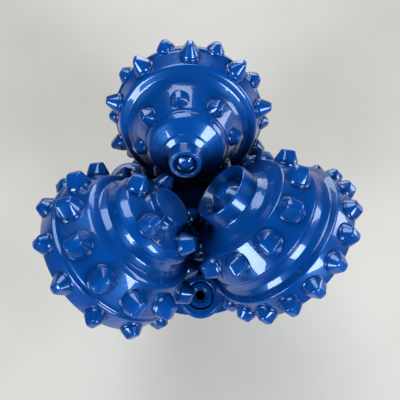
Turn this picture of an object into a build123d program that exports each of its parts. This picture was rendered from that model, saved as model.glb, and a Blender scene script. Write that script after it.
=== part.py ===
from build123d import *
from math import cos, pi, radians, sin
import os

# Three-cone rotary drill bit with insert teeth, millimetres. It stands on the end face of its
# pin: +Z runs from the pin to the cones, the origin is the centre of that face, and cone 1 is at +Y.
os.makedirs("parts", exist_ok=True)

# ---- threaded pin and shank ------------------------------------------------------------------
pin_length = 107.95
pin_end_radius = 45.25
pin_base_radius = 58.74
thread_height = 3.0
thread_relief = 9.5
pin_chamfer = 3.0
bore_radius = 28.0
bore_length = 112.0
plenum_length = 26.0
shoulder_radius = 67.5
shank_radius = 72.0
shank_top = 134.0
breaker_flat = 67.0
breaker_bottom = 114.5
breaker_height = 17.0
breaker_width = 60.0

# ---- legs ------------------------------------------------------------------------------------
leg_azimuths = (90, 210, 330)
sector = 120
body_radius = 86.0
flare_height = 16.0
body_top = 170.0
crown_height = 180.0
crown_radius = 72.0
arm_radius = 104.5
arm_inner = 36.0
arm_foot_half_width = 54.0
shirttail_radius = 38.0
shirttail_height = 235.0
heel_relief = 20.0

# ---- journals and cones, distances along a cone axis from its crossing point -----------------
journal_angle = radians(33.0)
cone_offset = 5.7
cone_height = 283.0
cone_back = -90.5
back_gap = 1.5
journal_radius = 27.0
thrust_face = -61.0
pilot_radius = 15.0
pilot_end = -47.0
ring_groove = -70.0
ring_width = 3.6
ring_inner_radius = 23.0
ring_outer_radius = 29.0
running_clearance = 0.06
face_clearance = 0.1
bushing_start = -82.5
bushing_end = -71.0
bushing_wall = 3.0
washer_thickness = 1.9
seal_start = -89.2
seal_width = 4.6
seal_height = 4.8
cone_sweep_radius = 72.0
neighbour_sweep_radius = 70.5

# ---- nozzles and grease reservoirs -----------------------------------------------------------
boss_azimuth = 64
boss_distance = body_radius - 16.0
boss_radius = 18.5
boss_seat = 152.0
boss_top = 190.0
channel_radius = 8.0
channel_start = 118.0
nozzle_radius = 11.0
nozzle_seat = 168.0
nozzle_length = 20.5
orifice_radius = 4.0
nozzle_seal_width = 3.0
fit_clearance = 0.1
reservoir_height = 180.0
reservoir_radius = 16.0
cap_start = arm_radius - 18.5
reservoir_floor = cap_start - 21.0
cap_thickness = 5.0
snap_ring_width = 1.6
diaphragm_wall = 1.8


def outward(azimuth):
    return Vector(cos(radians(azimuth)), sin(radians(azimuth)), 0)


def sideways(azimuth):
    return outward(azimuth + 90)


def cone_plane(azimuth):
    """x along the cone axis towards the nose, y across it in the plane of the journal."""
    nose = outward(azimuth) * -cos(journal_angle) + Vector(0, 0, sin(journal_angle))
    crossing = sideways(azimuth) * cone_offset + Vector(0, 0, cone_height)
    return Plane(origin=crossing, x_dir=nose, z_dir=sideways(azimuth))


def reservoir_plane(azimuth):
    """x outward along the reservoir axis."""
    return Plane(
        origin=(0, 0, reservoir_height), x_dir=outward(azimuth), z_dir=sideways(azimuth)
    )


def nozzle_plane(azimuth):
    """x outward from the bit axis, y up along the nozzle, origin under the boss at height zero."""
    return Plane(
        origin=outward(azimuth) * boss_distance,
        x_dir=outward(azimuth),
        z_dir=sideways(azimuth) * -1,
    )


def section(plane, points):
    """A closed outline of straight edges on the plane."""
    with BuildSketch(plane) as outline:
        with BuildLine():
            Polyline(*points, close=True)
        make_face()
    return outline.sketch.faces()


def along_x(plane):
    return Axis(plane.origin, plane.x_dir)


def along_y(plane):
    return Axis(plane.origin, plane.y_dir)


def finish(piece, name):
    piece.part.label = name
    export_step(piece.part, f"parts/{name}.step")


def cone_sweep(azimuth, back, radius):
    """The room that a turning cone needs, with its inserts."""
    plane = cone_plane(azimuth)
    points = [(back, 0), (back, radius), (-57, radius), (-10, 42), (-10, 0)]
    with BuildPart() as sweep:
        revolve(section(plane, points), axis=along_x(plane))
    return sweep.part


def upright(azimuth, radius, bottom, top):
    """A vertical cylinder on a nozzle axis."""
    with BuildPart() as post:
        with BuildSketch(Plane.XY.offset(bottom)):
            with Locations(outward(azimuth) * boss_distance):
                Circle(radius)
        extrude(amount=top - bottom)
    return post.part


# ---- legs: one forging, turned to three places -----------------------------------------------
leg_face = cone_back - back_gap
ring_top = ring_groove + ring_width
reservoir_at_leg = reservoir_plane(0)
journal_plane = cone_plane(0)

with BuildPart() as arm:
    with BuildSketch(Plane.YZ.offset(arm_inner)):
        with BuildLine():
            Polyline(
                (cone_offset - shirttail_radius, shirttail_height),
                (-arm_foot_half_width, shank_top),
                (arm_foot_half_width, shank_top),
                (cone_offset + shirttail_radius, shirttail_height),
            )
            ThreePointArc(
                (cone_offset + shirttail_radius, shirttail_height),
                (cone_offset, shirttail_height + shirttail_radius),
                (cone_offset - shirttail_radius, shirttail_height),
            )
        make_face()
    extrude(amount=arm_radius)
    with BuildSketch(Plane.XZ):
        with BuildLine():
            Polyline(
                (0, shank_top),
                (shank_radius, shank_top),
                (body_radius, shank_top + flare_height),
                (arm_radius - 3.5, body_top),
                (arm_radius, body_top + heel_relief),
                (arm_radius, cone_height),
                (0, cone_height),
                close=True,
            )
        make_face()
    revolve(axis=Axis.Z, mode=Mode.INTERSECT)

with BuildPart() as forging:
    with BuildSketch(Plane.XZ):
        with BuildLine():
            Polyline(
                (0, 0),
                (pin_end_radius - thread_height - pin_chamfer, 0),
                (pin_end_radius - thread_height, pin_chamfer),
                (pin_base_radius - thread_height, pin_length - thread_relief),
                (pin_base_radius - thread_height, pin_length),
                (shoulder_radius, pin_length),
                (shank_radius, pin_length + shank_radius - shoulder_radius),
                (shank_radius, shank_top),
                (body_radius, shank_top + flare_height),
                (body_radius, body_top),
                (crown_radius, crown_height),
                (0, crown_height),
                close=True,
            )
        make_face()
    revolve(axis=Axis.Z)
    add(arm.part)
    with BuildSketch(Plane.XZ):
        with BuildLine():
            Polyline(
                (0, -1),
                (bore_radius, -1),
                (bore_radius, bore_length),
                (0, bore_length + plenum_length),
                close=True,
            )
        make_face()
    revolve(axis=Axis.Z, mode=Mode.SUBTRACT)
    add(cone_sweep(0, leg_face, cone_sweep_radius), mode=Mode.SUBTRACT)
    add(cone_sweep(sector, leg_face, neighbour_sweep_radius), mode=Mode.SUBTRACT)
    add(cone_sweep(-sector, leg_face, neighbour_sweep_radius), mode=Mode.SUBTRACT)
    # Journal, ring groove, second land and pilot pin.
    journal = [
        (leg_face - 4, 0),
        (leg_face - 4, journal_radius),
        (ring_groove, journal_radius),
        (ring_groove, ring_inner_radius),
        (ring_top, ring_inner_radius),
        (ring_top, journal_radius),
        (thrust_face, journal_radius),
        (thrust_face, pilot_radius),
        (pilot_end, pilot_radius),
        (pilot_end, 0),
    ]
    revolve(section(journal_plane, journal), axis=along_x(journal_plane))
    # Reservoir pocket with the groove of its snap ring.
    ring_at = cap_start + cap_thickness + fit_clearance
    pocket = [
        (reservoir_floor, 0),
        (reservoir_floor, reservoir_radius),
        (ring_at, reservoir_radius),
        (ring_at, reservoir_radius + 1.2),
        (ring_at + snap_ring_width + fit_clearance, reservoir_radius + 1.2),
        (ring_at + snap_ring_width + fit_clearance, reservoir_radius),
        (arm_radius + 1, reservoir_radius),
        (arm_radius + 1, 0),
    ]
    revolve(
        section(reservoir_at_leg, pocket), axis=along_x(reservoir_at_leg), mode=Mode.SUBTRACT
    )
    # Seats and passages of the two nozzle bosses that this leg shares with its neighbours.
    for azimuth in (boss_azimuth, boss_azimuth - sector):
        inlet = Vector(0, 0, channel_start)
        outlet = outward(azimuth) * boss_distance + Vector(0, 0, boss_seat - 3)
        with BuildSketch(Plane(origin=inlet, z_dir=outlet - inlet)):
            Circle(channel_radius)
        extrude(amount=(outlet - inlet).length, mode=Mode.SUBTRACT)
        add(upright(azimuth, channel_radius, boss_seat - 6, boss_seat), mode=Mode.SUBTRACT)
        add(upright(azimuth, boss_radius, boss_seat, cone_height), mode=Mode.SUBTRACT)
    # Flat for the bit breaker.
    with BuildSketch(Plane.YZ.offset(breaker_flat)):
        with Locations((0, breaker_bottom + breaker_height / 2)):
            Rectangle(breaker_width, breaker_height)
    extrude(amount=shank_radius, mode=Mode.SUBTRACT)
    # Mating faces along the bit axis.
    reach = 4 * arm_radius
    with BuildSketch(Plane.XY.offset(-1)):
        with BuildLine():
            Polyline((0, 0), outward(-sector / 2) * reach, outward(sector / 2) * reach, close=True)
        make_face()
    extrude(amount=cone_height + 2, mode=Mode.INTERSECT)

for number, azimuth in enumerate(leg_azimuths, 1):
    with BuildPart() as leg:
        add(forging.part.rotate(Axis.Z, azimuth))
    finish(leg, f"leg_{number}")

# ---- nozzle bosses, nozzles and their seals --------------------------------------------------
seal_at = nozzle_seat + 4
for number, leg_azimuth in enumerate(leg_azimuths, 1):
    azimuth = leg_azimuth + boss_azimuth
    plane = nozzle_plane(azimuth)
    shell_radius = boss_radius - fit_clearance
    boss_outline = [
        (channel_radius, boss_seat),
        (shell_radius, boss_seat),
        (shell_radius, boss_top - 2),
        (shell_radius - 2, boss_top),
        (nozzle_radius, boss_top),
        (nozzle_radius, seal_at + nozzle_seal_width),
        (nozzle_radius + 2, seal_at + nozzle_seal_width),
        (nozzle_radius + 2, seal_at),
        (nozzle_radius, seal_at),
        (nozzle_radius, nozzle_seat),
        (channel_radius, nozzle_seat),
    ]
    with BuildPart() as boss:
        revolve(section(plane, boss_outline), axis=along_y(plane))
        for cone_azimuth in leg_azimuths:
            add(cone_sweep(cone_azimuth, leg_face, neighbour_sweep_radius), mode=Mode.SUBTRACT)
    finish(boss, f"jet_boss_{number}")

    nozzle_outline = [
        (channel_radius, nozzle_seat),
        (nozzle_radius - fit_clearance, nozzle_seat),
        (nozzle_radius - fit_clearance, nozzle_seat + nozzle_length - 1),
        (nozzle_radius - fit_clearance - 1, nozzle_seat + nozzle_length),
        (orifice_radius, nozzle_seat + nozzle_length),
        (orifice_radius, nozzle_seat + nozzle_length / 2),
    ]
    with BuildPart() as nozzle:
        revolve(section(plane, nozzle_outline), axis=along_y(plane))
    finish(nozzle, f"nozzle_{number}")

    seal_outline = [
        (nozzle_radius - fit_clearance / 2, seal_at + fit_clearance),
        (nozzle_radius + 1.9, seal_at + fit_clearance),
        (nozzle_radius + 1.9, seal_at + nozzle_seal_width - fit_clearance),
        (nozzle_radius - fit_clearance / 2, seal_at + nozzle_seal_width - fit_clearance),
    ]
    with BuildPart() as nozzle_seal:
        revolve(section(plane, seal_outline), axis=along_y(plane))
    finish(nozzle_seal, f"nozzle_seal_{number}")

# ---- grease reservoirs -----------------------------------------------------------------------
cap_radius = reservoir_radius - fit_clearance
cup_end = cap_start - fit_clearance
cup_radius = cap_radius - 2.5
for number, azimuth in enumerate(leg_azimuths, 1):
    plane = reservoir_plane(azimuth)
    diaphragm_outline = [
        (reservoir_floor + 2, 0),
        (reservoir_floor + 2, cup_radius),
        (cup_end - diaphragm_wall, cup_radius),
        (cup_end - diaphragm_wall, cap_radius),
        (cup_end, cap_radius),
        (cup_end, cup_radius - diaphragm_wall),
        (reservoir_floor + 2 + diaphragm_wall, cup_radius - diaphragm_wall),
        (reservoir_floor + 2 + diaphragm_wall, 0),
    ]
    with BuildPart() as diaphragm:
        revolve(section(plane, diaphragm_outline), axis=along_x(plane))
    finish(diaphragm, f"compensator_diaphragm_{number}")

    cap_end = cap_start + cap_thickness
    cap_outline = [
        (cap_start, 0),
        (cap_start, cap_radius),
        (cap_end, cap_radius),
        (cap_end, 6),
        (cap_end - 2, 4.5),
        (cap_end - 2, 0),
    ]
    with BuildPart() as cap:
        revolve(section(plane, cap_outline), axis=along_x(plane))
    finish(cap, f"reservoir_cap_{number}")

    snap_ring_outline = [
        (ring_at, cap_radius - 2.5),
        (ring_at, reservoir_radius + 1.1),
        (ring_at + snap_ring_width, reservoir_radius + 1.1),
        (ring_at + snap_ring_width, cap_radius - 2.5),
    ]
    with BuildPart() as snap_ring:
        revolve(section(plane, snap_ring_outline), axis=along_x(plane), revolution_arc=350)
    finish(snap_ring, f"reservoir_snap_ring_{number}")

# ---- bearing pieces on each journal ----------------------------------------------------------
bearing_radius = journal_radius + running_clearance
bushing_radius = bearing_radius + bushing_wall
washer_end = thrust_face + face_clearance + washer_thickness
for number, azimuth in enumerate(leg_azimuths, 1):
    plane = cone_plane(azimuth)
    pieces = {
        "journal_bushing": [
            (bushing_start, bearing_radius),
            (bushing_start, bushing_radius),
            (bushing_end, bushing_radius),
            (bushing_end, bearing_radius),
        ],
        "thrust_washer": [
            (thrust_face + face_clearance, pilot_radius + 0.6),
            (thrust_face + face_clearance, journal_radius - 0.5),
            (washer_end, journal_radius - 0.5),
            (washer_end, pilot_radius + 0.6),
        ],
        "cone_seal": [
            (seal_start + fit_clearance, journal_radius + fit_clearance),
            (seal_start + fit_clearance, journal_radius + seal_height),
            (seal_start + seal_width, journal_radius + seal_height),
            (seal_start + seal_width, journal_radius + fit_clearance),
        ],
    }
    for name, outline in pieces.items():
        with BuildPart() as piece:
            revolve(section(plane, outline), axis=along_x(plane))
        finish(piece, f"{name}_{number}")

    ring_outline = [
        (ring_groove + fit_clearance, ring_inner_radius + fit_clearance),
        (ring_groove + fit_clearance, ring_outer_radius),
        (ring_top - fit_clearance, ring_outer_radius),
        (ring_top - fit_clearance, ring_inner_radius + fit_clearance),
    ]
    with BuildPart() as retaining_ring:
        revolve(section(plane, ring_outline), axis=along_x(plane), revolution_arc=340)
    finish(retaining_ring, f"retaining_ring_{number}")

# ---- cones -----------------------------------------------------------------------------------
# Outline from the back face to the nose, as distance along the axis and radius.
cone_outlines = {
    1: [(-88, 58.5), (-77, 60.5), (-75.5, 58.5), (-64, 54), (-62, 53), (-60, 49), (-57, 42),
        (-54, 38.5), (-37.5, 27.5), (-34, 26), (-24, 13.5), (-22, 10), (-17.5, 9.5)],
    2: [(-88, 58), (-73, 59), (-71.5, 57), (-52, 46), (-50, 39), (-46, 35.5), (-40, 34.5),
        (-36, 33), (-33, 30.5), (-27, 13.5), (-24, 11), (-22.5, 9.5)],
    3: [(-88, 58), (-71, 57), (-69, 51), (-64, 48.5), (-57, 49.5), (-54, 49.5), (-39, 39),
        (-38.5, 33), (-36, 27.5), (-31, 24), (-27, 20), (-16, 9), (-15, 6)],
}
# Each row: count, seat along the axis, seat radius, lean from the axis in degrees, insert
# diameter, height above the seat, and the angle of the first insert round the axis.
insert_rows = {
    1: [(10, -82.5, 59.5, 90, 14, 6.7, 3.097), (10, -70.5, 56.8, 78, 15, 11, 3.414),
        (8, -46, 33.1, 57, 12.5, 8, 3.2)],
    2: [(13, -82.3, 58.3, 93, 14, 7, 3.513), (13, -63, 52, 60, 17, 10.5, 3.262),
        (7, -31.5, 27, 35, 13, 8, 4.1)],
    3: [(19, -82.7, 57.6, 92, 14, 7, 2.912), (11, -47, 44.4, 58, 16, 9, 3.104),
        (5, -22, 15, 43, 10, 6, 3.0)],
}
insert_sink = 4.0
mouth_radius = journal_radius + 0.6
gland_radius = journal_radius + seal_height + fit_clearance


def chisel(diameter, height):
    """A round insert whose conical crown is cut by two flats to a crest along y."""
    radius = diameter / 2
    crest = 0.16 * diameter
    with BuildPart() as insert:
        with BuildSketch(Plane.XZ):
            with BuildLine():
                Polyline(
                    (0, -insert_sink),
                    (radius, -insert_sink),
                    (radius, 0.2 * height),
                    (0.56 * radius, height),
                    (0, height),
                    close=True,
                )
            make_face()
        revolve(axis=Axis.Z)
        with BuildSketch(Plane.XZ):
            with BuildLine():
                Polyline(
                    (-radius - 1, -insert_sink),
                    (radius + 1, -insert_sink),
                    (radius + 1, 0.2 * height),
                    (crest, height),
                    (-crest, height),
                    (-radius - 1, 0.2 * height),
                    close=True,
                )
            make_face()
        extrude(amount=diameter, both=True, mode=Mode.INTERSECT)
    return insert.part


def insert_planes(plane, count, seat, radius, lean, first):
    """One plane for each insert of a row, z along the insert and x round the cone."""
    planes = []
    for index in range(count):
        turn = first + 2 * pi * index / count
        radial = plane.z_dir * cos(turn) - plane.y_dir * sin(turn)
        around = plane.z_dir * -sin(turn) - plane.y_dir * cos(turn)
        along = plane.x_dir * cos(radians(lean)) + radial * sin(radians(lean))
        place = plane.origin + plane.x_dir * seat + radial * radius
        planes.append(Plane(origin=place, x_dir=around, z_dir=along))
    return planes


cone_bore = [
    (pilot_end + 0.5, 0),
    (pilot_end + 0.5, pilot_radius + running_clearance),
    (washer_end, pilot_radius + running_clearance),
    (washer_end, bearing_radius),
    (ring_top + fit_clearance, bearing_radius),
    (ring_top + fit_clearance, ring_outer_radius + 0.6),
    (ring_groove - fit_clearance, ring_outer_radius + 0.6),
    (ring_groove - fit_clearance, bearing_radius),
    (bushing_end, bearing_radius),
    (bushing_end, bushing_radius),
    (bushing_start, bushing_radius),
    (bushing_start, mouth_radius),
    (seal_start + seal_width + fit_clearance, mouth_radius),
    (seal_start + seal_width + fit_clearance, gland_radius),
    (seal_start, gland_radius),
    (seal_start, mouth_radius),
    (cone_back, mouth_radius),
    (cone_back, 49),
]
for number, azimuth in enumerate(leg_azimuths, 1):
    plane = cone_plane(azimuth)
    outline = cone_bore + cone_outlines[number] + [(cone_outlines[number][-1][0], 0)]
    with BuildPart() as cone:
        revolve(section(plane, outline), axis=along_x(plane))
        for count, seat, radius, lean, diameter, height, first in insert_rows[number]:
            tooth = chisel(diameter, height)
            with Locations(*insert_planes(plane, count, seat, radius, lean, first)):
                add(tooth)
    finish(cone, f"cone_shell_{number}")
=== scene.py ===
"""Looks of a three-cone rotary drill bit, laid out as a Blender add-on and run as a script."""

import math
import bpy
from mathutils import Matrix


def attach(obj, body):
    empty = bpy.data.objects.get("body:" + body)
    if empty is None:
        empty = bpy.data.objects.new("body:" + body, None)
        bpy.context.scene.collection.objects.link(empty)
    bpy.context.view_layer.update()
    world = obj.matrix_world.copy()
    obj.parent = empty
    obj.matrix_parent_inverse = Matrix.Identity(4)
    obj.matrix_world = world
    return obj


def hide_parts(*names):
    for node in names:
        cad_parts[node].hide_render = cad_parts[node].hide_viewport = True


bl_info = {
    "name": "Tricone drill bit",
    "version": (1, 0, 0),
    "blender": (4, 5, 0),
    "location": "3D View > Sidebar > Tricone bit",
    "description": "Builds the visible pieces, finishes and stage of a three-cone drill bit",
    "category": "Object",
}

from typing import NamedTuple

import bpy
import numpy as np
from mathutils import Matrix, Vector

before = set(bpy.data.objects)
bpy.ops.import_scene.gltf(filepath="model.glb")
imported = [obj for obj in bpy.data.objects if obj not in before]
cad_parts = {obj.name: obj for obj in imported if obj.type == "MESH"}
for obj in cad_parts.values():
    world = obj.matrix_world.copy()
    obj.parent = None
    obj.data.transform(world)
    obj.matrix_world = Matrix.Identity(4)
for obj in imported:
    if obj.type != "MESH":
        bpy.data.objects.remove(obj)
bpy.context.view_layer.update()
MM = 0.001

# ---- sizes in millimetres, which follow the frame --------------------------------------------
AZIMUTHS = {1: 90, 2: 210, 3: 330}
JOURNAL_ANGLE = math.radians(33.0)
CONE_OFFSET = 5.7
CONE_HEIGHT = 283.0
CONE_BACK = -90.5
MOUTH_RADIUS = 27.6
BEARING_RADIUS = 27.06
BUSHING_RADIUS = 30.06
PILOT_RADIUS = 15.06
GROOVE_RADIUS = 29.6
GLAND_RADIUS = 31.9
BACK_RADIUS = 49
BORE_SOFTENING = 0.25

SEAM_AZIMUTH = 60
BOSS_AZIMUTH = 64
BOSS_DISTANCE = 70.0
BOSS_RADIUS = 18.3
NOZZLE_BORE_RADIUS = 11
SEAL_GROOVE_RADIUS = 13
ORIFICE_RADIUS = 4
JET_SOFTENING = 0.4

THREAD_PITCH = 5.08
THREAD_START, THREAD_END = 4.0, 97.5
THREAD_HEIGHT = 2.85
# Corners of the thread's section up the axis, and out from the root: shares of the height where
# they are positive, millimetres where they lie inside the root.
THREAD_OFFSETS = (-2.2, -0.7, 0.7, 2.2, 0.0)
THREAD_RISES = (-0.6, 1.0, 1.0, -0.6, -1.2)
ROOT_RADIUS_AT_CHAMFER, CHAMFER = 42.25, 3
TAPER_ON_RADIUS = 0.125
# Turn over which the thread fades in, in radians, and steps in a turn.
THREAD_FADE, THREAD_STEPS = 1.5, 90

SEAM_ROUNDING, SEAM_STEPS = 6, 8
WELD_WIDTH, WELD_RISE, WELD_END = 3.6, 1.5, 3
WELD_ROWS, WELD_COLUMNS = 220, 16
# The ripple is a share of the bead's width and rise, and its rate is in radians per millimetre.
RIPPLE, RIPPLE_RATE = 0.12, 1.1

INSERT_SINK = 4.0
FLARE, FLARE_DECAY = 0.7, 0.45
# The crest's softening is a share of the insert's diameter.
CREST_SOFTENING = 0.055
FLAT_POWER = 12
CREASE_ANGLE = math.radians(30)

# Bore of a cone from its closed end to the mouth, then its outside from the back to the nose.
BORE = [(-46.5, 0), (-46.5, PILOT_RADIUS), (-59, PILOT_RADIUS), (-59, BEARING_RADIUS),
        (-66.3, BEARING_RADIUS), (-66.3, GROOVE_RADIUS), (-70.1, GROOVE_RADIUS),
        (-70.1, BEARING_RADIUS), (-71, BEARING_RADIUS), (-71, BUSHING_RADIUS),
        (-82.5, BUSHING_RADIUS), (-82.5, MOUTH_RADIUS), (-84.5, MOUTH_RADIUS),
        (-84.5, GLAND_RADIUS), (-89.2, GLAND_RADIUS), (-89.2, MOUTH_RADIUS),
        (CONE_BACK, MOUTH_RADIUS), (CONE_BACK, BACK_RADIUS)]
OUTSIDES = {
    1: [(-88, 58.5), (-77, 60.5), (-75.5, 58.5), (-64.5, 54.5), (-62, 53.5), (-60.8, 51.5),
        (-60, 47), (-57.5, 42.5), (-55, 40.2), (-53.6, 39.6), (-40, 31.2), (-38.8, 29.6),
        (-36.6, 29.2), (-33.5, 27), (-28.5, 17.5), (-27.5, 16.8), (-25.5, 12), (-15.8, 11.4),
        (-15.2, 10.9), (-15.2, 8.3), (-18.8, 7.5), (-19.6, 6.6), (-19.6, 0)],
    2: [(-88, 58), (-73, 59), (-71.8, 57.2), (-70, 56.8), (-52.5, 46.2), (-51, 43.5),
        (-50, 39.5), (-46.5, 36), (-42, 35), (-39.5, 35), (-36.5, 33.5), (-33, 30.5),
        (-29, 19), (-27, 16), (-23, 15), (-22.5, 14.4), (-22.5, 13.2), (-22.9, 12.8),
        (-22.9, 0)],
    3: [(-88, 58), (-71, 57), (-69.5, 52.5), (-66, 49.8), (-61, 49), (-58.5, 50.3),
        (-57.5, 50.2), (-39, 39.2), (-38.6, 33), (-37.2, 28.6), (-35, 25.5), (-32.5, 23),
        (-22, 22), (-21, 21.2), (-21.5, 20.2), (-28.5, 15.5), (-29.5, 14), (-29.5, 0)],
}


class Row(NamedTuple):
    """A ring of like inserts: lengths in millimetres, lean in degrees, first turn in radians.

    The point says how sharp the crown is, from 0 for a chisel to 1.
    """

    count: int
    seat: float
    radius: float
    lean: float
    diameter: float
    height: float
    first: float
    point: float


INSERT_ROWS = {
    1: {"heel": Row(10, -82.5, 59.5, 90, 14, 6.4, 3.097, 0.5),
        "gauge": Row(10, -70.5, 56.8, 78, 15, 10.4, 3.414, 1),
        "inner": Row(8, -46.3, 34.6, 57, 13.5, 6.8, 3.27, 0),
        "nose": Row(1, -19.6, 0, 0, 11.5, 3.2, 0.5, 0)},
    2: {"heel": Row(13, -82.3, 58.3, 93, 14, 6.7, 3.513, 0),
        "gauge": Row(13, -63, 52, 60, 17, 10.5, 3.262, 0),
        "inner": Row(5, -30, 26, 30, 14.5, 9, 1.297, 0)},
    3: {"heel": Row(19, -82.7, 57.6, 92, 14, 6.7, 2.912, 0),
        "gauge": Row(11, -47, 44.4, 58, 16, 9, 3.104, 0),
        "nose": Row(1, -29.5, 0, 0, 26, 8.5, 1.335, 0)},
}

# Outlines of height and radius, closed on themselves.
BOSS = [(152, 8), (152, BOSS_RADIUS), (188, BOSS_RADIUS), (190, 16.3), (190, 11.9),
        (189.2, NOZZLE_BORE_RADIUS), (175, NOZZLE_BORE_RADIUS), (175, SEAL_GROOVE_RADIUS),
        (172, SEAL_GROOVE_RADIUS), (172, NOZZLE_BORE_RADIUS), (168, NOZZLE_BORE_RADIUS), (168, 8)]
NOZZLE = [(168, 8), (168, 10.9), (187.5, 10.9), (188.5, 9.9), (188.5, 6.4), (187.3, 5.6),
          (187.3, ORIFICE_RADIUS), (178, ORIFICE_RADIUS)]
# Radius and height of the weld's centre line.
SEAM = [(69.8, 111.5), (71.4, 113.5), (71.4, 134), (85.4, 150), (85.4, 169)]

# ---- looks -----------------------------------------------------------------------------------
STEEL_RING = (0.5, 0.5, 0.52)
STEEL_THREAD = (0.3, 0.3, 0.31)
BRONZE = (0.62, 0.4, 0.16)
SEAL_BLACK, SEAL_BLOOM = (0.012, 0.012, 0.013), (0.04, 0.04, 0.042)

# Scales of the finishes' patterns, per metre.
COATS, SHEEN, WOBBLE = 22.0, 60.0, 35.0
COARSE_PEEL, FINE_PEEL, TURNING_MARKS = 90.0, 420.0, 5200.0
MACHINING, TARNISH = (40.0, 40.0, 700.0), 45.0
RUBBER_GRAIN, RUBBER_BLOOM = 800.0, 50.0

# Lamp name: place in metres, side in metres, power in watts, colour.
LAMPS = {
    "key": ((-0.25, 0.75, 1.25), 0.8, 15.0, (1.0, 0.99, 0.97)),
    "right": ((0.78, -0.85, 0.98), 0.5, 17.0, (0.9, 0.96, 1.0)),
    "left": ((-0.8, -0.92, 0.88), 0.5, 17.0, (0.92, 0.97, 1.0)),
    "side": ((1.2, 0.15, 0.5), 0.5, 7.0, (0.96, 0.98, 1.0)),
    "back": ((0.1, 1.3, 0.42), 0.7, 8.0, (0.96, 0.98, 1.0)),
}
FLOOR_REACH = 4.0
SKY, SKY_STRENGTH = (0.86, 0.9, 0.95, 1), 0.015


class PaintSettings(bpy.types.PropertyGroup):
    """The blue enamel that covers everything that shows."""

    colour: bpy.props.FloatVectorProperty(
        name="Colour", description="Enamel in full light", subtype="COLOR", size=3,
        default=(0.0004, 0.046, 0.245), min=0, max=1)
    # Painted shade: the colour the enamel darkens to in corners.
    painted_shade: bpy.props.FloatVectorProperty(
        name="Painted shade colour", description="Enamel darkened in corners as painted shade", subtype="COLOR", size=3,
        default=(0.0001, 0.004, 0.03), min=0, max=1)
    roughness: bpy.props.FloatProperty(
        name="Roughness", description="Roughness of the enamel", default=0.3, min=0, max=1)
    # Reach of the painted shade in corners.
    corner: bpy.props.FloatProperty(
        name="Corner reach", description="How far from a corner the paint is darker",
        default=0.032, unit="LENGTH")


class ShapeSettings(bpy.types.PropertyGroup):
    """Fineness of the turned and repeated surfaces."""

    segments: bpy.props.IntProperty(
        name="Segments", description="Steps round a cone", default=176, min=24)
    insert_segments: bpy.props.IntProperty(
        name="Insert segments", description="Steps round an insert", default=56, min=12)
    edge: bpy.props.FloatProperty(
        name="Edge softening", description="Reach of the softened edges", default=0.0009,
        unit="LENGTH")


class StageSettings(bpy.types.PropertyGroup):
    """Camera, floor and lights."""

    elevation: bpy.props.FloatProperty(
        name="Elevation", description="Height of the view above the horizon",
        default=math.radians(70.879), subtype="ANGLE")
    azimuth: bpy.props.FloatProperty(
        name="Azimuth", description="Turn of the view round the bit",
        default=math.radians(5.553), subtype="ANGLE")
    roll: bpy.props.FloatProperty(
        name="Roll", description="Turn of the camera about its own axis",
        default=math.radians(-4.877), subtype="ANGLE")
    distance: bpy.props.FloatProperty(
        name="Distance", description="From the crossing of the cone axes to the camera",
        default=0.24388, unit="LENGTH")
    lens: bpy.props.FloatProperty(
        name="Lens", description="Focal length in millimetres", default=33.44)
    shift: bpy.props.FloatVectorProperty(
        name="Shift", description="Shift of the frame across and up", size=2,
        default=(0.0181, -0.0519))
    floor: bpy.props.FloatVectorProperty(
        name="Floor", description="Colour of the floor", subtype="COLOR", size=3,
        default=(0.44, 0.43, 0.405), min=0, max=1)


# ---- geometry --------------------------------------------------------------------------------
def outward(azimuth):
    angle = math.radians(azimuth)
    return np.array([math.cos(angle), math.sin(angle), 0.0])


def cone_frame(number):
    """Origin O, axis A towards the nose, and U, V across it, with V = A x U."""
    azimuth = AZIMUTHS[number]
    across = outward(azimuth + 90)
    axis = -math.cos(JOURNAL_ANGLE) * outward(azimuth) + np.array([0, 0, math.sin(JOURNAL_ANGLE)])
    origin = (across * CONE_OFFSET + np.array([0, 0, CONE_HEIGHT])) * MM
    return origin, axis, across, np.cross(axis, across)


def rounded(points, reach, steps=4):
    """The open outline with each inner corner Q turned into a quadratic curve.

    P and R lie at min(reach, 0.45 edge) before and after Q, and the curve is
    (1 - t)^2 P + 2 t (1 - t) Q + t^2 R for t from 0 to 1.
    """
    corners = np.asarray(points, float)
    back, ahead = corners[:-2] - corners[1:-1], corners[2:] - corners[1:-1]
    lengths = [np.linalg.norm(edge, axis=1, keepdims=True) for edge in (back, ahead)]
    reaches = [np.minimum(reach, 0.45 * length) for length in lengths]
    start = corners[1:-1] + back / lengths[0] * reaches[0]
    end = corners[1:-1] + ahead / lengths[1] * reaches[1]
    t = np.linspace(0, 1, steps + 1)[None, :, None]
    before, corner, after = start[:, None], corners[1:-1, None], end[:, None]
    curve = (1 - t) ** 2 * before + 2 * t * (1 - t) * corner + t**2 * after
    return np.vstack([corners[:1], curve.reshape(-1, 2), corners[-1:]])


def grid_faces(rows, columns):
    """Quads of a grid whose columns close on themselves."""
    row, column = np.meshgrid(np.arange(rows - 1), np.arange(columns), indexing="ij")
    after = (column + 1) % columns
    quads = [row * columns + column, row * columns + after,
             (row + 1) * columns + after, (row + 1) * columns + column]
    return np.stack(quads, axis=-1).reshape(-1, 4)


def tube_faces(rows, columns):
    """Quads along a tube and one face over each end."""
    end = np.arange(columns)[None]
    return [grid_faces(rows, columns), end[:, ::-1], end + (rows - 1) * columns]


def fan_faces(pole, ring, columns, turn):
    """Triangles from a pole to the ring that starts at that index."""
    column = np.arange(columns)
    pair = [ring + column, ring + (column + 1) % columns]
    pair = pair[::-1] if turn else pair
    return np.stack([np.full(columns, pole), *pair], axis=-1)


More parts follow.
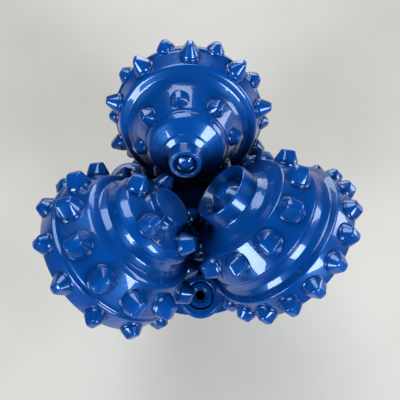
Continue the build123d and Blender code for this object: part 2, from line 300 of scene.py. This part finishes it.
def outward_faces(points, faces):
    """The faces, turned over if they enclose a negative volume, sum of a . (b x c) / 6."""
    volume = 0.0
    for group in faces:
        for k in range(1, group.shape[1] - 1):
            a, b, c = points[group[:, 0]], points[group[:, k]], points[group[:, k + 1]]
            volume += np.einsum("ij,ij->", a, np.cross(b, c))
    return faces if volume > 0 else [group[:, ::-1] for group in faces]


def add_mesh(name, points, faces, material, body):
    """A smooth piece on a body."""
    faces = outward_faces(points - points.mean(axis=0), faces)
    mesh = bpy.data.meshes.new(name)
    mesh.from_pydata(points.tolist(), [], [face for group in faces for face in group.tolist()])
    mesh.validate()
    mesh.shade_smooth()
    mesh.materials.append(material)
    piece = bpy.data.objects.new(name, mesh)
    bpy.context.scene.collection.objects.link(piece)
    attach(piece, body)
    return piece


def turned_points(outline, origin, axis, across, beside, columns):
    """O + s A + r (cos a U + sin a V) for each (s, r) of the outline and each angle a."""
    angle = np.linspace(0, 2 * np.pi, columns, endpoint=False)
    ring = np.cos(angle)[:, None] * across + np.sin(angle)[:, None] * beside
    station, radius = outline[:, 0, None, None], outline[:, 1, None, None]
    return (origin + station * axis + radius * ring).reshape(-1, 3)


def turned(name, outline, place, material, body, columns):
    """A solid of revolution, from axis to axis with a pole at each end, or closed on itself."""
    if outline[0, 1] < 1e-9:
        points = turned_points(outline[1:-1], *place, columns)
        poles = [place[0] + outline[k, 0] * place[1] for k in (0, -1)]
        rings = len(outline) - 2
        count = rings * columns
        faces = [grid_faces(rings, columns), fan_faces(count, 0, columns, True),
                 fan_faces(count + 1, (rings - 1) * columns, columns, False)]
        points = np.vstack([points, poles])
    else:
        points = turned_points(outline, *place, columns)
        faces = [grid_faces(len(outline) + 1, columns) % len(points)]
    return add_mesh(name, points, faces, material, body)


def closed_outline(points, reach):
    """A closed outline with every corner softened."""
    ring = list(points)
    return rounded([ring[-1]] + ring + [ring[0]], reach)[1:-1]


def insert_shape(row, columns):
    """One chisel insert with z along it: circles of radius r(z) cut by two flats at |x| = w(z).

    x = r cos a / (1 + |r cos a / w|^12)^(1/12) and y = r sin a. Up the crown r and w run straight
    from the body's radius to the crest, where r has lost 0.42 to 0.58 of it and w 0.7 to 0.8, the
    more the sharper the point. A film of paint flares the foot by f exp(-z / d), and a small
    quarter-round closes the crest.
    """
    radius, height, soft = row.diameter / 2, row.height, CREST_SOFTENING * row.diameter
    foot = np.array([-INSERT_SINK, -0.4, 0.0, 0.3, 0.7, 1.2])
    crown = np.linspace(max(0.2 * height, 1.5), height - soft, 8)
    quarter = np.linspace(0, math.pi / 2, 5)[1:-1]
    z = np.concatenate([foot, crown, height - soft + soft * np.sin(quarter)])
    rise = np.clip((z - crown[0]) / (height - crown[0]), 0, 1)
    flare = FLARE * np.exp(-np.clip(z, 0, None) / FLARE_DECAY)
    inset = np.concatenate([np.zeros(len(foot) + len(crown)), soft * (1 - np.cos(quarter))])
    round_radius = radius - radius * (0.42 + 0.16 * row.point) * rise + flare - inset
    flat = 1.02 * radius - radius * (0.7 + 0.1 * row.point) * rise + flare - inset
    angle = np.linspace(0, 2 * np.pi, columns, endpoint=False)[None]
    across = round_radius[:, None] * np.cos(angle)
    x = across / (1 + np.abs(across / flat[:, None]) ** FLAT_POWER) ** (1 / FLAT_POWER)
    y = round_radius[:, None] * np.sin(angle)
    rings = np.stack([x, y, np.broadcast_to(z[:, None], x.shape)], axis=-1).reshape(-1, 3)
    points = np.vstack([rings, [[0, 0, -INSERT_SINK], [0, 0, height]]]) * MM
    count = len(z) * columns
    faces = [grid_faces(len(z), columns), fan_faces(count, 0, columns, True),
             fan_faces(count + 1, count - columns, columns, False)]
    return points, faces


def insert_places(number, row):
    """Seats and axes (around, crest, along) of a row's inserts.

    At turn t the radial is cos t U + sin t V, the seat is O + s A + r radial, and the insert
    stands along cos(lean) A + sin(lean) radial.
    """
    origin, axis, across, beside = cone_frame(number)
    turn = (row.first + 2 * np.pi * np.arange(row.count) / row.count)[:, None]
    radial = np.cos(turn) * across + np.sin(turn) * beside
    around = -np.sin(turn) * across + np.cos(turn) * beside
    lean = math.radians(row.lean)
    along = axis * math.cos(lean) + radial * math.sin(lean)
    seats = origin + (row.seat * axis + row.radius * radial) * MM
    return seats, around, np.cross(along, around), along


def add_row(number, name, row, material, columns):
    """All inserts of a row as one piece: seat + x around + y crest + z along."""
    shape, groups = insert_shape(row, columns)
    seats, *axes = insert_places(number, row)
    turned_shape = np.einsum("pk,ckj->cpj", shape, np.stack(axes, axis=1))
    points = (seats[:, None] + turned_shape).reshape(-1, 3)
    shift = np.arange(row.count)[:, None, None] * len(shape)
    faces = [(group[None] + shift).reshape(-1, group.shape[1]) for group in groups]
    piece = add_mesh(f"inserts_{name}_{number}", points, faces, material, f"cone_{number}")
    piece.data.set_sharp_from_angle(angle=CREASE_ANGLE)


def thread_shape():
    """The thread: a section of five corners carried up a helix, and its faces.

    At turn a the section's middle is at z = start + pitch a / (2 pi), and a corner's radius is
    R + taper (z - chamfer) plus its rise. The crest's two corners rise by the thread's height,
    which grows from nothing at both ends, and the others lie inside the root.
    """
    turns = (THREAD_END - THREAD_START) / THREAD_PITCH
    steps = int(turns * THREAD_STEPS)
    turn = np.linspace(0, turns * 2 * np.pi, steps)[:, None]
    fade = np.clip(np.minimum(turn, turn[-1] - turn) / THREAD_FADE, 0, 1)
    offsets, rise = np.array(THREAD_OFFSETS)[None], np.array(THREAD_RISES)[None]
    z = THREAD_START + THREAD_PITCH * turn / (2 * np.pi) + offsets
    proud = np.where(rise > 0, rise * fade * THREAD_HEIGHT, rise)
    radius = ROOT_RADIUS_AT_CHAMFER + TAPER_ON_RADIUS * (z - CHAMFER) + proud
    points = np.stack([radius * np.cos(turn), radius * np.sin(turn), z], axis=-1) * MM
    return points.reshape(-1, 3), tube_faces(steps, offsets.shape[1])


def weld_shape(azimuth):
    """A weld bead up the seam at that azimuth, and its faces.

    The centre line is sampled evenly along its length l. Round it, at angle a, a point lies at
    (r + h cos a) outward + w sin a sideways + z up. The width w and rise h swell by
    1 + ripple |sin(rate l)| and narrow as the square root of the distance to an end.
    """
    path = rounded(SEAM, SEAM_ROUNDING, SEAM_STEPS)
    along = np.concatenate([[0], np.cumsum(np.linalg.norm(np.diff(path, axis=0), axis=1))])
    length = np.linspace(0, along[-1], WELD_ROWS)
    radius, height = (np.interp(length, along, path[:, k]) for k in (0, 1))
    angle = np.linspace(0, 2 * np.pi, WELD_COLUMNS, endpoint=False)[None]
    to_end = np.minimum(length, along[-1] - length) / WELD_END
    ends = np.sqrt(np.clip(to_end, 0.02, 1))[:, None]
    swell = 1 + RIPPLE * np.abs(np.sin(length * RIPPLE_RATE))[:, None]
    wide, proud = WELD_WIDTH * ends * swell, WELD_RISE * ends * swell
    out, side, up = outward(azimuth), outward(azimuth + 90), np.array([0, 0, 1.0])
    reach = (radius[:, None] + proud * np.cos(angle))[..., None] * out
    sideways = (wide * np.sin(angle))[..., None] * side
    points = (reach + sideways + height[:, None, None] * up) * MM
    return points.reshape(-1, 3), tube_faces(WELD_ROWS, WELD_COLUMNS)


# ---- shaders ---------------------------------------------------------------------------------
class Signal:
    """A number that varies over a surface, with arithmetic that adds Math nodes."""

    def __init__(self, finish, socket):
        self.finish = finish
        self.socket = socket

    def _math(self, operation, first, second):
        return self.finish.math(operation, first, second)

    def __add__(self, other):
        return self._math("ADD", self, other)

    def __radd__(self, other):
        return self._math("ADD", other, self)

    def __mul__(self, other):
        return self._math("MULTIPLY", self, other)

    def __rmul__(self, other):
        return self._math("MULTIPLY", other, self)

    def between(self, low, high):
        """0 below low, 1 above high, straight between."""
        node = self.finish.node(
            "ShaderNodeMapRange", {"clamp": True},
            {"Value": self, "From Min": low, "From Max": high})
        return Signal(self.finish, node.outputs["Result"])


class Finish:
    """A material under construction."""

    def __init__(self, name):
        self.material = bpy.data.materials.new(name)
        self.material.use_nodes = True
        self.tree = self.material.node_tree
        self.shader = self.tree.nodes["Principled BSDF"]
        self.place = self.node("ShaderNodeTexCoord").outputs["Object"]

    def node(self, kind, settings=None, sockets=None):
        """A node of that type with its settings, and its sockets set or linked."""
        node = self.tree.nodes.new(kind)
        for key, value in (settings or {}).items():
            setattr(node, key, value)
        for key, value in (sockets or {}).items():
            self.feed(node.inputs[key], value)
        return node

    def feed(self, socket, value):
        value = value.socket if isinstance(value, Signal) else value
        if isinstance(value, bpy.types.NodeSocket):
            self.tree.links.new(value, socket)
        else:
            socket.default_value = value

    def math(self, operation, first, second):
        node = self.node("ShaderNodeMath", {"operation": operation}, {0: first, 1: second})
        return Signal(self, node.outputs[0])

    def noise(self, scale, detail=3.0, place=None):
        node = self.node(
            "ShaderNodeTexNoise", None,
            {"Vector": place or self.place, "Scale": scale, "Detail": detail})
        return Signal(self, node.outputs["Fac"])

    def stretched(self, factors):
        """Object coordinates times a vector."""
        node = self.node("ShaderNodeVectorMath", {"operation": "MULTIPLY"},
                         {0: self.place, 1: factors})
        return node.outputs["Vector"]

    def along(self, origin, axis):
        """Distance along an axis, (P - O) . A."""
        offset = self.node("ShaderNodeVectorMath", {"operation": "SUBTRACT"},
                           {0: self.place, 1: tuple(origin)})
        dot = self.node("ShaderNodeVectorMath", {"operation": "DOT_PRODUCT"},
                        {0: offset.outputs["Vector"], 1: tuple(axis)})
        return Signal(self, dot.outputs["Value"])

    def corners(self, reach):
        """1 in the open and less in corners, from ambient occlusion; the finishes use it for
        painted shade.
        """
        node = self.node("ShaderNodeAmbientOcclusion", {"samples": 8}, {"Distance": reach})
        return Signal(self, node.outputs["AO"])

    def blend(self, factor, first, second):
        node = self.node("ShaderNodeMix", {"data_type": "RGBA"},
                         {"Factor": factor, 6: (*first, 1) if isinstance(first, tuple) else first,
                          7: (*second, 1) if isinstance(second, tuple) else second})
        return node.outputs[2]

    def bump(self, height, strength, distance):
        node = self.node("ShaderNodeBump", None,
                         {"Strength": strength, "Distance": distance, "Height": height})
        return node.outputs["Normal"]

    def finish(self, **sockets):
        for key, value in sockets.items():
            self.feed(self.shader.inputs[key.replace("_", " ")], value)
        return self.material


def scaled(colour, factor):
    return tuple(min(1.0, channel * factor) for channel in colour)


def enamel(name, paint, axis=None):
    """Glossy blue enamel: orange peel, thin and thick coats, turning marks along an axis, and
    painted shade in corners.
    """
    look = Finish(name)
    colour, painted_shade = tuple(paint.colour), tuple(paint.painted_shade)
    coat = look.noise(COATS, 4.0)
    open_paint = look.blend(coat.between(0.35, 0.7), scaled(colour, 0.8), scaled(colour, 1.15))
    # Painted shade: towards corners found by ambient occlusion, the enamel darkens to the shade
    # colour.
    shade = look.corners(paint.corner).between(0.3, 1.0)
    tone = look.blend(shade, painted_shade, open_paint)
    peel = look.noise(FINE_PEEL, 2.0) * 0.35 + look.noise(COARSE_PEEL, 3.0) * 0.65
    if axis is not None:
        marks = look.along(*axis)
        wobble = look.noise(WOBBLE, 2.0) * 0.0006
        groove = look.math("SINE", (marks + wobble) * TURNING_MARKS, 0.0)
        peel = peel + groove * 0.05
    rough = look.noise(SHEEN, 4.0).between(0.3, 0.75) * 0.14 + (paint.roughness - 0.07)
    return look.finish(
        Base_Color=tone, Roughness=rough, Normal=look.bump(peel, 0.28, 0.0006),
        Coat_Weight=0.6, Coat_Roughness=0.03,
        Specular_IOR_Level=0.6, Specular_Tint=(0.12, 0.42, 1.0, 1.0))


def metal(name, colour, roughness):
    """Machined metal with fine lines, uneven sheen and tarnish, and painted shade in corners."""
    look = Finish(name)
    lines = look.noise(1.0, 4.0, look.stretched(MACHINING))
    cloud = look.noise(TARNISH, 4.0)
    # Painted shade: the metal darkens in corners found by ambient occlusion, mixed with random
    # tarnish.
    shade = look.corners(0.006).between(0.2, 0.9)
    tone = look.blend(shade * cloud.between(0.2, 0.8), scaled(colour, 0.45), colour)
    rough = lines * 0.2 + cloud * 0.12 + (roughness - 0.16)
    return look.finish(Base_Color=tone, Roughness=rough, Metallic=1.0,
                       Normal=look.bump(lines, 0.15, 0.0003))


def rubber(name):
    """Matt black seal rubber with a fine grain and a grey bloom."""
    look = Finish(name)
    grain = look.noise(RUBBER_GRAIN, 4.0)
    bloom = look.noise(RUBBER_BLOOM, 4.0).between(0.45, 0.75)
    tone = look.blend(bloom, SEAL_BLACK, SEAL_BLOOM)
    return look.finish(Base_Color=tone, Roughness=grain * 0.2 + 0.6,
                       Normal=look.bump(grain, 0.3, 0.0003))


def paint_for(number=None):
    """The enamel of the body, or of one cone with marks along its axis, made once."""
    name = "enamel_body" if number is None else f"enamel_cone_{number}"
    place = None if number is None else cone_frame(number)[:2]
    return bpy.data.materials.get(name) or enamel(name, bpy.context.scene.tricone_paint, place)


# ---- operators -------------------------------------------------------------------------------
class TRICONE_OT_cones(bpy.types.Operator):
    """Turn the three cone shells, with their bearing bores."""

    bl_idname = "tricone.cones"
    bl_label = "Cone shells"

    def execute(self, context):
        shape = context.scene.tricone_shape
        for number in AZIMUTHS:
            bore = rounded(BORE + OUTSIDES[number][:1], BORE_SOFTENING)[:-1]
            outside = rounded([BORE[-1]] + OUTSIDES[number], shape.edge / MM)[1:]
            outline = np.vstack([bore, outside])
            shell = turned(f"cone_{number}_shell", outline * MM, cone_frame(number),
                           paint_for(number), f"cone_{number}", shape.segments)
            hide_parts(f"cone_shell_{number}")
        return {"FINISHED"}


class TRICONE_OT_inserts(bpy.types.Operator):
    """Set the rows of chisel inserts in the cones."""

    bl_idname = "tricone.inserts"
    bl_label = "Insert rows"

    def execute(self, context):
        columns = context.scene.tricone_shape.insert_segments
        for number, rows in INSERT_ROWS.items():
            for name, row in rows.items():
                add_row(number, name, row, paint_for(), columns)
        return {"FINISHED"}


class TRICONE_OT_jets(bpy.types.Operator):
    """Turn the nozzle bosses and the nozzles in them."""

    bl_idname = "tricone.jets"
    bl_label = "Nozzles and bosses"

    def execute(self, context):
        columns = context.scene.tricone_shape.segments // 2
        up = np.array([0.0, 0.0, 1.0])
        for number, azimuth in AZIMUTHS.items():
            out = outward(azimuth + BOSS_AZIMUTH)
            place = (out * BOSS_DISTANCE * MM, up, out, np.cross(up, out))
            pieces = (("jet_boss", BOSS, "blue_enamel"), ("nozzle", NOZZLE, "nozzle_carbide"))
            for name, outline, slot in pieces:
                points = closed_outline(outline, JET_SOFTENING) * MM
                piece = turned(f"{name}_{number}_turned", points, place, paint_for(), "bit_body",
                               columns)
                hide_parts(f"{name}_{number}")
        return {"FINISHED"}


class TRICONE_OT_thread(bpy.types.Operator):
    """Wind the thread on the pin."""

    bl_idname = "tricone.thread"
    bl_label = "Pin thread"

    def execute(self, context):
        points, faces = thread_shape()
        material = metal("steel_thread", STEEL_THREAD, 0.4)
        add_mesh("pin_thread", points, faces, material, "bit_body")
        return {"FINISHED"}


class TRICONE_OT_welds(bpy.types.Operator):
    """Lay a weld bead down each seam between two legs."""

    bl_idname = "tricone.welds"
    bl_label = "Seam welds"

    def execute(self, context):
        for number, azimuth in AZIMUTHS.items():
            points, faces = weld_shape(azimuth + SEAM_AZIMUTH)
            add_mesh(f"seam_weld_{number}", points, faces, paint_for(), "bit_body")
        return {"FINISHED"}


class TRICONE_OT_finishes(bpy.types.Operator):
    """Give each piece carried over from the frame its finish."""

    bl_idname = "tricone.finishes"
    bl_label = "Finishes of the frame's pieces"

    def execute(self, context):
        paint, seal = paint_for(), rubber("rubber_seal")
        ring, bearing = metal("steel_ring", STEEL_RING, 0.3), metal("bronze_bearing", BRONZE, 0.32)
        finishes = {
            "leg": paint, "jet_boss": paint, "nozzle": paint, "cone_shell": paint,
            "reservoir_cap": paint, "nozzle_seal": seal, "cone_seal": seal,
            "compensator_diaphragm": seal, "reservoir_snap_ring": ring, "retaining_ring": ring,
            "journal_bushing": bearing, "thrust_washer": bearing,
        }
        for name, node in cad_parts.items():
            material = finishes[name.rsplit("_", 1)[0]]
            if not node.material_slots:
                node.data.materials.append(material)
            for slot in node.material_slots:
                slot.material = material
        return {"FINISHED"}


class TRICONE_OT_stage(bpy.types.Operator):
    """Place the camera, the floor and the studio lights."""

    bl_idname = "tricone.stage"
    bl_label = "Stage"

    def execute(self, context):
        stage = context.scene.tricone_stage
        target = Vector((0, 0, CONE_HEIGHT * MM))
        level = math.cos(stage.elevation)
        back = Vector((math.sin(stage.azimuth) * level, -math.cos(stage.azimuth) * level,
                       math.sin(stage.elevation)))
        right = (-back).cross(Vector((0, 0, 1))).normalized()
        up = right.cross(-back)
        turn = stage.roll
        right, up = (math.cos(turn) * right + math.sin(turn) * up,
                     -math.sin(turn) * right + math.cos(turn) * up)
        lens = bpy.data.cameras.new("camera")
        lens.lens = stage.lens
        lens.shift_x, lens.shift_y = stage.shift
        lens.clip_start = 0.01
        camera = bpy.data.objects.new("camera", lens)
        turned_to = Matrix((right, up, back)).transposed().to_4x4()
        camera.matrix_world = Matrix.Translation(target + back * stage.distance) @ turned_to
        context.scene.collection.objects.link(camera)
        context.scene.camera = camera

        look = Finish("floor_pale")
        pale = tuple(stage.floor)
        cloud = look.noise(6.0, 5.0).between(0.3, 0.7)
        tone = look.blend(cloud, scaled(pale, 0.94), scaled(pale, 1.04))
        material = look.finish(Base_Color=tone, Roughness=0.85)
        mesh = bpy.data.meshes.new("floor")
        corners = [(x * FLOOR_REACH, y * FLOOR_REACH, 0) for x, y in
                   ((-1, -1), (1, -1), (1, 1), (-1, 1))]
        mesh.from_pydata(corners, [], [(0, 1, 2, 3)])
        mesh.materials.append(material)
        floor = bpy.data.objects.new("floor", mesh)
        context.scene.collection.objects.link(floor)

        for name, (place, size, power, colour) in LAMPS.items():
            light = bpy.data.lights.new(name, "AREA")
            light.size = size
            light.energy = power
            light.color = colour
            lamp = bpy.data.objects.new(name, light)
            lamp.matrix_world = Matrix.Translation(place) @ (
                Vector(place) - target).to_track_quat("Z", "Y").to_matrix().to_4x4()
            context.scene.collection.objects.link(lamp)
        world = bpy.data.worlds.new("studio")
        world.use_nodes = True
        background = world.node_tree.nodes["Background"]
        background.inputs["Color"].default_value = SKY
        background.inputs["Strength"].default_value = SKY_STRENGTH
        context.scene.world = world
        context.scene.view_settings.view_transform = "Standard"
        return {"FINISHED"}


class TRICONE_PT_panel(bpy.types.Panel):
    """Sidebar panel of the bit's pieces."""

    bl_idname = "TRICONE_PT_panel"
    bl_label = "Tricone bit"
    bl_space_type = "VIEW_3D"
    bl_region_type = "UI"
    bl_category = "Tricone bit"

    def draw(self, context):
        for settings in (context.scene.tricone_paint, context.scene.tricone_shape,
                         context.scene.tricone_stage):
            for name in settings.__annotations__:
                self.layout.prop(settings, name)
        for operator in PIECES:
            self.layout.operator(operator.bl_idname)


PIECES = (TRICONE_OT_cones, TRICONE_OT_inserts, TRICONE_OT_jets, TRICONE_OT_thread,
          TRICONE_OT_welds, TRICONE_OT_finishes, TRICONE_OT_stage)
SETTINGS = {"tricone_paint": PaintSettings, "tricone_shape": ShapeSettings,
            "tricone_stage": StageSettings}


def register():
    for cls in (*SETTINGS.values(), *PIECES, TRICONE_PT_panel):
        bpy.utils.register_class(cls)
    for name, group in SETTINGS.items():
        setattr(bpy.types.Scene, name, bpy.props.PointerProperty(type=group))


def unregister():
    for name in SETTINGS:
        delattr(bpy.types.Scene, name)
    for cls in reversed((*SETTINGS.values(), *PIECES, TRICONE_PT_panel)):
        bpy.utils.unregister_class(cls)


def main():
    register()
    for operator in PIECES:
        area, action = operator.bl_idname.split(".")
        if getattr(getattr(bpy.ops, area), action)() != {"FINISHED"}:
            raise RuntimeError(f"{operator.bl_label} did not finish")


if __name__ == "__main__":
    main()
